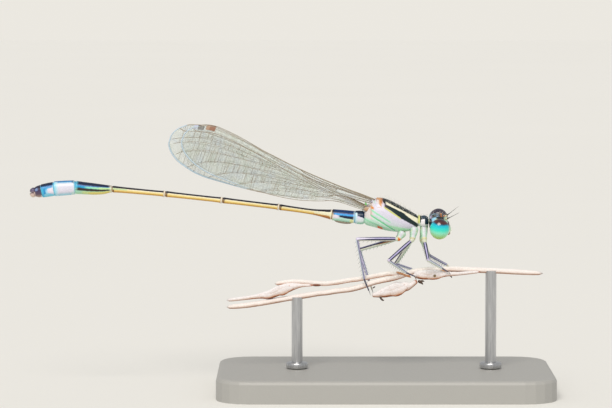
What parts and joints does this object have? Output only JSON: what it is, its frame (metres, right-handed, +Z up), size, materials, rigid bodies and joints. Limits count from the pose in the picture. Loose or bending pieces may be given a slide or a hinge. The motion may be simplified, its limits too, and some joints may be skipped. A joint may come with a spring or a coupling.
{
  "type": "damselfly model",
  "caption": "Life-size still damselfly with folded clear wings and a long slim abdomen, gripping a cut grass stem held over a flat base by short rods.",
  "frame": {"origin": "centre of the underside of the stand's base", "axes": "+X towards the damselfly's head, +Y to its left, +Z up; the abdomen's tip points to -X"},
  "size_m": [0.0374, 0.014, 0.0192],
  "materials": {
    "shell_dark": "blue-black insect shell with a soft sheen",
    "thorax_green": "pale green insect shell, black bands over it, satin",
    "eye_turquoise": "glossy compound eye, brown above and turquoise to green below",
    "abdomen_straw": "straw yellow insect shell with a black back, satin",
    "abdomen_blue": "sky blue insect shell, satin",
    "abdomen_dark": "blue-black insect shell, glossy",
    "leg_grey": "pale insect leg with a dark stripe, satin",
    "wing_clear": "clear wing membrane over fine brown veins",
    "dry_grass": "dry straw-pink grass, matte",
    "stand_paint": "pale grey satin paint",
    "stand_steel": "brushed steel rod"
  },
  "bodies": {
    "root": {"abdomen_1": "abdomen_blue", "abdomen_10": "abdomen_dark", "abdomen_2": "abdomen_dark", "abdomen_3": "abdomen_straw", "abdomen_4": "abdomen_straw", "abdomen_5": "abdomen_straw", "abdomen_6": "abdomen_straw", "abdomen_7": "abdomen_dark", "abdomen_8": "abdomen_blue", "abdomen_9": "abdomen_blue", "antenna_left": "shell_dark", "antenna_right": "shell_dark", "cercus_left": "abdomen_dark", "cercus_right": "abdomen_dark", "eye_left": "eye_turquoise", "eye_right": "eye_turquoise", "head": "shell_dark", "leg_front_left_coxa": "leg_grey", "leg_front_left_femur": "leg_grey", "leg_front_left_tarsus": "leg_grey", "leg_front_left_tibia": "leg_grey", "leg_front_right_coxa": "leg_grey", "leg_front_right_femur": "leg_grey", "leg_front_right_tarsus": "leg_grey", "leg_front_right_tibia": "leg_grey", "leg_hind_left_coxa": "leg_grey", "leg_hind_left_femur": "leg_grey", "leg_hind_left_tarsus": "leg_grey", "leg_hind_left_tibia": "leg_grey", "leg_hind_right_coxa": "leg_grey", "leg_hind_right_femur": "leg_grey", "leg_hind_right_tarsus": "leg_grey", "leg_hind_right_tibia": "leg_grey", "leg_mid_left_coxa": "leg_grey", "leg_mid_left_femur": "leg_grey", "leg_mid_left_tarsus": "leg_grey", "leg_mid_left_tibia": "leg_grey", "leg_mid_right_coxa": "leg_grey", "leg_mid_right_femur": "leg_grey", "leg_mid_right_tarsus": "leg_grey", "leg_mid_right_tibia": "leg_grey", "mouthparts": "thorax_green", "paraproct_left": "abdomen_dark", "paraproct_right": "abdomen_dark", "perch_branch": "dry_grass", "perch_spikelet_lower": "dry_grass", "perch_spikelet_rear": "dry_grass", "perch_spikelet_upper": "dry_grass", "perch_stem": "dry_grass", "prothorax": "shell_dark", "stand_base": "stand_paint", "stand_rod_front": "stand_steel", "stand_rod_rear": "stand_steel", "thorax": "thorax_green", "wing_fore_left": "wing_clear", "wing_fore_right": "wing_clear", "wing_hind_left": "wing_clear", "wing_hind_right": "wing_clear"}
  },
  "joints": []
}
